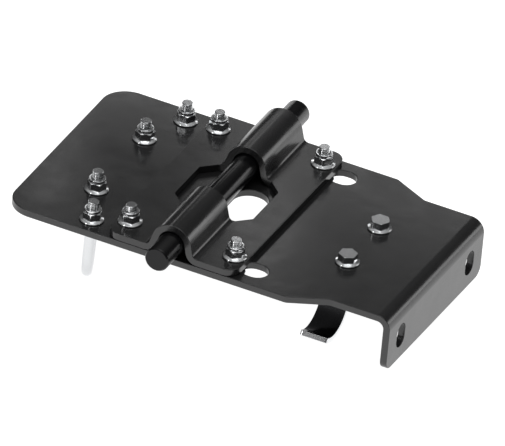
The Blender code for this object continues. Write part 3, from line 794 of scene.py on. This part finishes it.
def hex_body(heights, flange_top, chamfer_top):
    """Rings of a flanged hexagon.

    At each angle and height the radius is the larger of the flange's cone and the hexagon, and
    the hexagon is the smaller of its flat's distance over the cosine of the angle off the flat,
    a corner limit, and a thirty-degree chamfer cone near the top.
    """
    angles = hex_angles()
    off_middle = (angles + math.pi / 6) % (math.pi / 3) - math.pi / 6
    flats = HEX_WIDTH / 2 / np.cos(off_middle)
    flats = soft_min(flats, np.full_like(flats, HEX_WIDTH / 2 * HEX_CORNER_SHARE), HEX_SOFTNESS)
    z = np.asarray(heights)[:, None]
    chamfer = HEX_WIDTH / 2 + (chamfer_top - z) / math.tan(HEX_CHAMFER_ANGLE)
    hexagon = soft_min(flats[None] + 0 * z, chamfer + 0 * flats[None], HEX_SOFTNESS)
    slope = (SEAT_RADIUS - HEX_WIDTH / 2) / SEAT_CONE_HEIGHT
    cone = SEAT_RADIUS - (z - flange_top) * slope
    radius = -soft_min(-hexagon, -cone + 0 * flats[None], HEX_SOFTNESS * 2)
    return np.stack([radius * np.cos(angles), radius * np.sin(angles), z + 0 * radius], axis=-1)


def round_rows(profile):
    """Turned rings on the hexagon's own angles, so that they join its grid."""
    angles = hex_angles()
    radius, height = np.array(profile).T[:, :, None]
    return np.stack([radius * np.cos(angles), radius * np.sin(angles), height + 0 * angles], axis=-1)


def flange_rows():
    """The flange's washer face and its rounded rim, from the seat up."""
    turn = np.linspace(-math.pi / 2, math.pi / 2, RIM_STEPS)
    half = SEAT_THICKNESS / 2
    radius = SEAT_RADIUS - half * RIM_SQUASH + half * RIM_SQUASH * np.cos(turn)
    return round_rows(np.stack([radius, half + half * np.sin(turn)], 1))


def hex_heights(top):
    """Heights up a flanged hexagon, closer together at the flange's cone and the top chamfer."""
    cone_top = SEAT_THICKNESS + SEAT_CONE_HEIGHT * CONE_REACH
    wall_low = SEAT_THICKNESS + SEAT_CONE_HEIGHT * WALL_START
    return np.concatenate(
        [
            np.linspace(SEAT_THICKNESS, cone_top, CONE_ROWS)[1:],
            np.linspace(wall_low, top - WALL_END, WALL_ROWS),
            np.linspace(top - CHAMFER_START, top, CHAMFER_ROWS),
        ]
    )


groove_z = NUT_HEX_TOP + GROOVE_LIFT
collar = [(CROWN_RADIUS - inward, groove_z + lift) for inward, lift in COLLAR_PROFILE]
crown_wall = [(CROWN_RADIUS, groove_z + CROWN_WALL_LIFT)]
crown_wall += [(CROWN_RADIUS, NUT_HEIGHT - CROWN_LIP * CROWN_WALL_STOP)]
lip_turn = np.linspace(0, math.pi / 2, LIP_STEPS)
lip_radius = CROWN_RADIUS - CROWN_LIP * (1 - np.cos(lip_turn))
lip = np.stack([lip_radius, NUT_HEIGHT - CROWN_LIP * (1 - np.sin(lip_turn))], 1)
pocket_roof = NUT_HEIGHT - CROWN_ROOF
pocket_floor = NUT_HEIGHT - POCKET_DEPTH
inside = [
    (CROWN_MOUTH + MOUTH_EASE, NUT_HEIGHT),
    (CROWN_MOUTH, NUT_HEIGHT - MOUTH_EASE),
    (CROWN_MOUTH, pocket_roof),
    (POCKET_RADIUS, pocket_roof - ROOF_EASE),
    (POCKET_RADIUS, pocket_floor),
    (BORE_RADIUS, pocket_floor),
    (BORE_RADIUS, BORE_CHAMFER),
    (BORE_RADIUS + BORE_CHAMFER, 0.0),
]
nut_rings = np.concatenate(
    [
        flange_rows(),
        hex_body(hex_heights(NUT_HEX_TOP), SEAT_THICKNESS, NUT_HEX_TOP),
        round_rows(collar),
        round_rows(crown_wall),
        round_rows(lip),
        round_rows(inside),
    ]
)


def threaded_rings(low, high, chamfer_low, chamfer_high, columns=THREAD_COLUMNS):
    """A rolled thread between two heights.

    The radius at angle a and height z dips by the thread's depth where z over the pitch, less a
    over a turn, is a whole number, as a rounded triangle wave. End chamfers cut the crests down.
    """
    rows = math.ceil((high - low) / THREAD_PITCH * THREAD_ROWS)
    z = np.linspace(low, high, rows + 1)[:, None]
    angles = np.arange(columns) * 2 * math.pi / columns
    phase = (z / THREAD_PITCH - angles[None] / (2 * math.pi)) % 1
    triangle = np.abs(2 * phase - 1)
    dip = THREAD_DEPTH * np.clip(triangle * THREAD_FLANK - THREAD_CREST, 0, 1)
    radius = THREAD_RADIUS - dip
    for ends, amount in ((z - low, chamfer_low), (high - z, chamfer_high)):
        if amount:
            radius = np.minimum(radius, THREAD_RADIUS - amount + ends)
    return np.stack([radius * np.cos(angles), radius * np.sin(angles), z + 0 * radius], axis=-1)


# Zinc plating: a fine crystalline spangle, faint draw lines and a little tarnish in patches
GRAIN_NOISE = (2600.0, 4.0, 0.65)
GRAIN_DEPTH = 0.25
GRAIN_RANGE = (0.3, 0.7)
GRAIN_GLOSS_DRIFT = 0.07
DENT_NOISE = (360.0, 2.0)
TARNISH_NOISE = (210.0, 5.0, 0.6)
TARNISH_RANGE = (0.4, 0.72)
ZINC_BUMP = 0.00004
ZINC_BUMP_STRENGTH = 0.6

zinc_group, zinc_in, zinc_out = new_group(
    "zinc_plating",
    {"Grain": 1.0, "Tarnish": 1.0},
    {"Height": "NodeSocketFloat", "Tarnish": "NodeSocketFloat", "Grain": "NodeSocketFloat"},
)
zinc_place = zinc_group.nodes.new("ShaderNodeTexCoord").outputs["Object"]
fine_grain = noise_at(zinc_group, zinc_place, *GRAIN_NOISE)
soft_dents = noise_at(zinc_group, zinc_place, *DENT_NOISE)
grain_depth = calculate(zinc_group, "MULTIPLY", zinc_in.outputs["Grain"], GRAIN_DEPTH)
grain_height = calculate(zinc_group, "MULTIPLY", fine_grain, grain_depth)
zinc_group.links.new(calculate(zinc_group, "ADD", grain_height, soft_dents), zinc_out.inputs["Height"])
tarnish_noise = noise_at(zinc_group, zinc_place, *TARNISH_NOISE)
tarnish = spread(zinc_group, tarnish_noise, *TARNISH_RANGE, 0.0, 1.0)
tarnish = calculate(zinc_group, "MULTIPLY", tarnish, zinc_in.outputs["Tarnish"])
zinc_group.links.new(tarnish, zinc_out.inputs["Tarnish"])
zinc_group.links.new(fine_grain, zinc_out.inputs["Grain"])


def zinc_plate(name, bright, dull, gloss, amounts):
    """Bright zinc: metal whose colour and gloss drift towards a duller film in patches."""
    metal = bpy.data.materials.new(name)
    metal.use_nodes = True
    tree = metal.node_tree
    shader = tree.nodes["Principled BSDF"]
    shader.inputs["Metallic"].default_value = 1.0
    plating = value_node(tree, "ShaderNodeGroup", node_tree=zinc_group)
    for label, number in amounts.items():
        plating.inputs[label].default_value = number
    tint = value_node(tree, "ShaderNodeMix", data_type="RGBA")
    tint.inputs["A"].default_value = (*bright, 1.0)
    tint.inputs["B"].default_value = (*dull, 1.0)
    tree.links.new(plating.outputs["Tarnish"], tint.inputs["Factor"])
    tree.links.new(tint.outputs["Result"], shader.inputs["Base Color"])
    shine = spread(tree, plating.outputs["Grain"], *GRAIN_RANGE, gloss, gloss + GRAIN_GLOSS_DRIFT)
    tree.links.new(shine, shader.inputs["Roughness"])
    bump = value_node(tree, "ShaderNodeBump")
    bump.inputs["Strength"].default_value = ZINC_BUMP_STRENGTH
    bump.inputs["Distance"].default_value = ZINC_BUMP
    tree.links.new(plating.outputs["Height"], bump.inputs["Height"])
    tree.links.new(bump.outputs["Normal"], shader.inputs["Normal"])
    return metal


ZINC_BRIGHT = (0.80, 0.81, 0.82)
ZINC_DULL = (0.58, 0.59, 0.60)
ZINC_GLOSS = 0.09
ZINC_TEXTURE = {"Grain": 0.6, "Tarnish": 0.35}
zinc = zinc_plate("bright_zinc_plate", ZINC_BRIGHT, ZINC_DULL, ZINC_GLOSS, ZINC_TEXTURE)

NYLON_NOISE = (500.0, 3.0)
NYLON_DEEP = (0.50, 0.51, 0.50, 1.0)
NYLON_PALE = (0.68, 0.69, 0.68, 1.0)
NYLON_BUMP = 0.00005
NYLON_ROUGHNESS = 0.45

nylon = bpy.data.materials.new("nylon_ring")
nylon.use_nodes = True
nylon_shader = nylon.node_tree.nodes["Principled BSDF"]
nylon_place = nylon.node_tree.nodes.new("ShaderNodeTexCoord").outputs["Object"]
nylon_clouds = noise_at(nylon.node_tree, nylon_place, *NYLON_NOISE)
nylon_tint = value_node(nylon.node_tree, "ShaderNodeMix", data_type="RGBA")
nylon_tint.inputs["A"].default_value = NYLON_DEEP
nylon_tint.inputs["B"].default_value = NYLON_PALE
nylon.node_tree.links.new(nylon_clouds, nylon_tint.inputs["Factor"])
nylon.node_tree.links.new(nylon_tint.outputs["Result"], nylon_shader.inputs["Base Color"])
nylon_bump = value_node(nylon.node_tree, "ShaderNodeBump")
nylon_bump.inputs["Distance"].default_value = NYLON_BUMP
nylon.node_tree.links.new(nylon_clouds, nylon_bump.inputs["Height"])
nylon.node_tree.links.new(nylon_bump.outputs["Normal"], nylon_shader.inputs["Normal"])
nylon_shader.inputs["Roughness"].default_value = NYLON_ROUGHNESS

INSERT_HEADROOM = 0.0005
INSERT_SQUARENESS = 0.4
INSERT_STEPS = 24
INSERT_COLUMNS = 48

insert_low_z = pocket_roof - INSERT_HEADROOM - INSERT_HEIGHT
insert_turn = np.linspace(0, 2 * math.pi, INSERT_STEPS, endpoint=False)
insert_half = (INSERT_RADIUS - BORE_RADIUS) / 2
insert_across = np.sign(np.cos(insert_turn)) * np.abs(np.cos(insert_turn)) ** INSERT_SQUARENESS
insert_up = np.sign(np.sin(insert_turn)) * np.abs(np.sin(insert_turn)) ** INSERT_SQUARENESS
insert_radii = BORE_RADIUS + insert_half * (1 + insert_across)
insert_heights = insert_low_z + INSERT_HEIGHT / 2 * (1 + insert_up)
insert_profile = np.stack([insert_radii, insert_heights], axis=1)


def seat_of(node, upside_down=False):
    """The middle of a fastener's bearing face, from its CAD node's box."""
    low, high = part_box(node)
    return Vector(((low.x + high.x) / 2, (low.y + high.y) / 2, high.z if upside_down else low.z))


def add_lock_nut(nut_node, insert_node, spin, upside_down=False):
    """A nut turned to some angle on its thread, with its nylon ring."""
    turn = Matrix.Rotation(spin, 4, "Z")
    if upside_down:
        turn = Matrix.Rotation(math.pi, 4, "X") @ turn
    place = seat_of(nut_node, upside_down)
    nut = place_mesh(nut_node + "_plated", skin(nut_node, nut_rings, closed_rows=True), place, turn)
    dress(nut, zinc, "plates", nut_node)
    ring_mesh = skin(insert_node, turned_rings(insert_profile, INSERT_COLUMNS), closed_rows=True)
    ring = place_mesh(insert_node + "_nylon", ring_mesh, place, turn)
    dress(ring, nylon, "plates", insert_node)


def flange_bolt_mesh(name, shank):
    """A flange bolt about its seat at z = 0: thread below, flanged hexagon head above."""
    angles = hex_angles()
    thread = threaded_rings(-shank, -UNDER_HEAD, THREAD_CHAMFER, 0.0, columns=len(angles))
    shank_radius = np.hypot(thread[:, :, 0], thread[:, :, 1])
    thread = np.stack([shank_radius * np.cos(angles), shank_radius * np.sin(angles), thread[:, :, 2]], -1)
    top = [(HEX_WIDTH / 2 * share, HEAD_HEIGHT) for share in HEAD_TOP_SHARES]
    head = hex_body(hex_heights(HEAD_HEIGHT), SEAT_THICKNESS, HEAD_HEIGHT + HEAD_CHAMFER_TOP)
    head_edge = head[-1:] * [1 - 2 * HEX_EDGE_ROUND / HEX_WIDTH, 1 - 2 * HEX_EDGE_ROUND / HEX_WIDTH, 1]
    head[-1, :, 2] -= HEX_EDGE_ROUND
    rings = np.concatenate([thread, flange_rows(), head, head_edge, round_rows(top)])
    return skin(name, rings, low_pole=(0, 0, -shank), high_pole=(0, 0, HEAD_HEIGHT))


SADDLE_SPINS = {"left_front": 0.35, "left_rear": 0.85, "right_front": 0.12, "right_rear": 0.62}
BOLT_SPIN_AHEAD = 0.4
for label, spin in SADDLE_SPINS.items():
    bolt_node, nut_node = "saddle_bolt_" + label, "saddle_nut_" + label
    low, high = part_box(bolt_node)
    shank = high.z - low.z - HEAD_HEIGHT
    seat = Vector(((low.x + high.x) / 2, (low.y + high.y) / 2, low.z + HEAD_HEIGHT))
    turn = Matrix.Rotation(math.pi, 4, "X") @ Matrix.Rotation(spin + BOLT_SPIN_AHEAD, 4, "Z")
    bolt = place_mesh(bolt_node + "_plated", flange_bolt_mesh(bolt_node, shank), seat, turn)
    dress(bolt, zinc, "plates", bolt_node)
    add_lock_nut(nut_node, "saddle_insert_" + label, spin)


# U-bolts ------------------------------------------------------------------------------------
# Round rod threaded at both ends and bent round a former into a U, hung through the base plate
# at the rear for the frame tubes. Zinc plated, with a lock nut on each leg.

U_BOLT_THREAD = 0.027
LOOP_STEPS = 56
ROD_ZINC = (0.66, 0.67, 0.68)
ROD_GLOSS = 0.10
ROD_TEXTURE = {"Grain": 0.4, "Tarnish": 0.25}
U_NUT_SPINS = {"outer": 0.25, "inner": 0.7}
LEFT_SPIN_AHEAD = 0.3
rod_zinc = zinc_plate("zinc_on_bent_rod", ROD_ZINC, ZINC_DULL, ROD_GLOSS, ROD_TEXTURE)

for side_name in ("left", "right"):
    outer_seat = seat_of(f"u_bolt_nut_{side_name}_outer")
    inner_seat = seat_of(f"u_bolt_nut_{side_name}_inner")
    low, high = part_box("u_bolt_" + side_name)
    across = Vector((outer_seat.x - inner_seat.x, outer_seat.y - inner_seat.y, 0.0))
    loop_radius = across.length / 2
    loop_z = low.z + THREAD_RADIUS + loop_radius
    leg_length = high.z - loop_z
    leg = threaded_rings(0.0, leg_length, 0.0, THREAD_CHAMFER)
    fade = np.clip((leg[:, :, 2] - (leg_length - U_BOLT_THREAD)) / THREAD_PITCH, 0, 1)
    scale = THREAD_RADIUS / np.hypot(leg[:, :, 0], leg[:, :, 1])
    smooth = 1 + (scale - 1) * (1 - fade)
    leg[:, :, 0] *= smooth
    leg[:, :, 1] *= smooth
    first_leg = leg[::-1] + np.array([loop_radius, 0, 0])
    angles = np.linspace(0, math.pi, LOOP_STEPS + 1)[1:-1, None]
    around = np.arange(leg.shape[1]) * 2 * math.pi / leg.shape[1]
    out = loop_radius + THREAD_RADIUS * np.cos(around)[None]
    loop = np.stack(
        [out * np.cos(angles), THREAD_RADIUS * np.sin(around)[None] + 0 * angles, -out * np.sin(angles)], -1
    )
    columns = leg.shape[1]
    second_leg = leg[:, (columns // 2 - np.arange(columns)) % columns] - np.array([loop_radius, 0, 0])
    rings = np.concatenate([first_leg, loop, second_leg])
    poles = ((loop_radius, 0, leg_length), (-loop_radius, 0, leg_length))
    mesh = skin("u_bolt_" + side_name, rings[::-1], low_pole=poles[1], high_pole=poles[0])
    middle = (outer_seat + inner_seat) / 2
    turn = Matrix.Rotation(math.atan2(across.y, across.x), 4, "Z")
    u_bolt = place_mesh("u_bolt_" + side_name + "_plated", mesh, (middle.x, middle.y, loop_z), turn)
    dress(u_bolt, rod_zinc, "plates", "u_bolt_" + side_name)
    ahead = LEFT_SPIN_AHEAD * (side_name == "left")
    for leg_name, spin in U_NUT_SPINS.items():
        label = f"{side_name}_{leg_name}"
        add_lock_nut("u_bolt_nut_" + label, "u_bolt_insert_" + label, spin + ahead)


# Hook clamps --------------------------------------------------------------------------------
# Steel strap sheared to length, punched, bent down from its tab and rolled into a cup that
# catches a frame tube from below. Zinc plated and held up by a flange bolt and a lock nut. Its
# rolled faces are coloured near black as painted shade for the shaded cup; sheared edges keep bright zinc.

HOOK_THICKNESS = 0.00476
HOOK_CUP_EASE = 0.00495
TUBE_RADIUS = 0.01905
HOOK_PLAY = 0.00085
HOOK_WALL_REACH = 0.0178
HOOK_LIP_ANGLE = math.radians(30.0)
HOOK_BEND_RADIUS = 0.005
HOOK_TAIL = 0.012
HOOK_TAB_CORNER_RADIUS = 0.003
HOOK_END_RADIUS = 0.0008
CAD_GAP = 0.0003

# The strap's face colour is painted shade: near-black zinc standing in for the shade in the cup
STRAP_PAINTED_SHADE = (0.10, 0.10, 0.105)
SHEARED_EDGE = (0.86, 0.87, 0.88)
STRAP_GLOSS = 0.14
STRAP_TEXTURE = {"Grain": 1.4, "Tarnish": 0.9}
HOOK_BOLT_SPIN = 0.28
HOOK_BOLT_SPIN_STEP = 0.25
HOOK_NUT_SPIN = 0.4
hook_zinc_shaded = zinc_plate("zinc_strap_painted_shade", STRAP_PAINTED_SHADE, STRAP_PAINTED_SHADE, STRAP_GLOSS, STRAP_TEXTURE)
strap_tree = hook_zinc_shaded.node_tree
strap_shader = strap_tree.nodes["Principled BSDF"]
# The faces keep the painted shade colour; the cut_edge mask puts bright zinc on the sheared edges
strap_unshaded_edge_mask = value_node(strap_tree, "ShaderNodeAttribute", attribute_name="cut_edge")
strap_shade_mix = value_node(strap_tree, "ShaderNodeMix", data_type="RGBA")
painted_shade_colour = strap_shader.inputs["Base Color"].links[0].from_socket
strap_tree.links.new(strap_unshaded_edge_mask.outputs["Fac"], strap_shade_mix.inputs["Factor"])
strap_tree.links.new(painted_shade_colour, strap_shade_mix.inputs["A"])
strap_shade_mix.inputs["B"].default_value = (*SHEARED_EDGE, 1.0)
strap_tree.links.new(strap_shade_mix.outputs["Result"], strap_shader.inputs["Base Color"])
hook_half = HOOK_THICKNESS / 2
hook_bend = HOOK_BEND_RADIUS + hook_half
cup_radius = TUBE_RADIUS + HOOK_CUP_EASE
cup_drop = 2 * TUBE_RADIUS + HOOK_PLAY - cup_radius - CAD_GAP
hook_moves = [(HOOK_TAIL + HOOK_WALL_REACH - hook_bend, 0), (hook_bend, -math.pi / 2)]
hook_moves += [(cup_drop - hook_half - hook_bend, 0)]
hook_moves += [(cup_radius + hook_half, math.pi / 2 + HOOK_LIP_ANGLE)]
hook_run = sum(size * abs(turn) if turn else size for size, turn in hook_moves)
for side_name, side in (("left", 1), ("right", -1)):
    bolt_node = "hook_bolt_" + side_name
    low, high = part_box(bolt_node)
    bolt_x, bolt_y = (low.x + high.x) / 2, (low.y + high.y) / 2
    hook_low, hook_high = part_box("hook_clamp_" + side_name)
    edge = (hook_high.x - hook_low.x) / 2
    tab, end = HOOK_TAB_CORNER_RADIUS, HOOK_END_RADIUS
    strap = [(hook_run, -edge, end), (hook_run, edge, end), (0.0, edge, tab), (0.0, -edge, tab)]
    hook = bent_plate(
        f"hook_clamp_{side_name}_plated",
        soft_outline(strap, EDGE_STEP),
        [round_hole(HOOK_TAIL, 0.0, HOLE_RADIUS)],
        (-HOOK_TAIL, -hook_half),
        hook_moves,
        HOOK_THICKNESS,
        ((0, 1, 0), (side, 0, 0), (0, 0, 1)),
    )
    hook.data.transform(Matrix.Translation((bolt_x, bolt_y, hook_high.z)))
    dress(hook, hook_zinc_shaded, side_name + "_hook", "hook_clamp_" + side_name)
    shank = high.z - low.z - HEAD_HEIGHT
    seat = Vector((bolt_x, bolt_y, high.z - HEAD_HEIGHT))
    turn = Matrix.Rotation(HOOK_BOLT_SPIN + HOOK_BOLT_SPIN_STEP * side, 4, "Z")
    bolt = place_mesh(bolt_node + "_plated", flange_bolt_mesh(bolt_node, shank), seat, turn)
    dress(bolt, zinc, "plates", bolt_node)
    add_lock_nut("hook_nut_" + side_name, "hook_insert_" + side_name, HOOK_NUT_SPIN, upside_down=True)
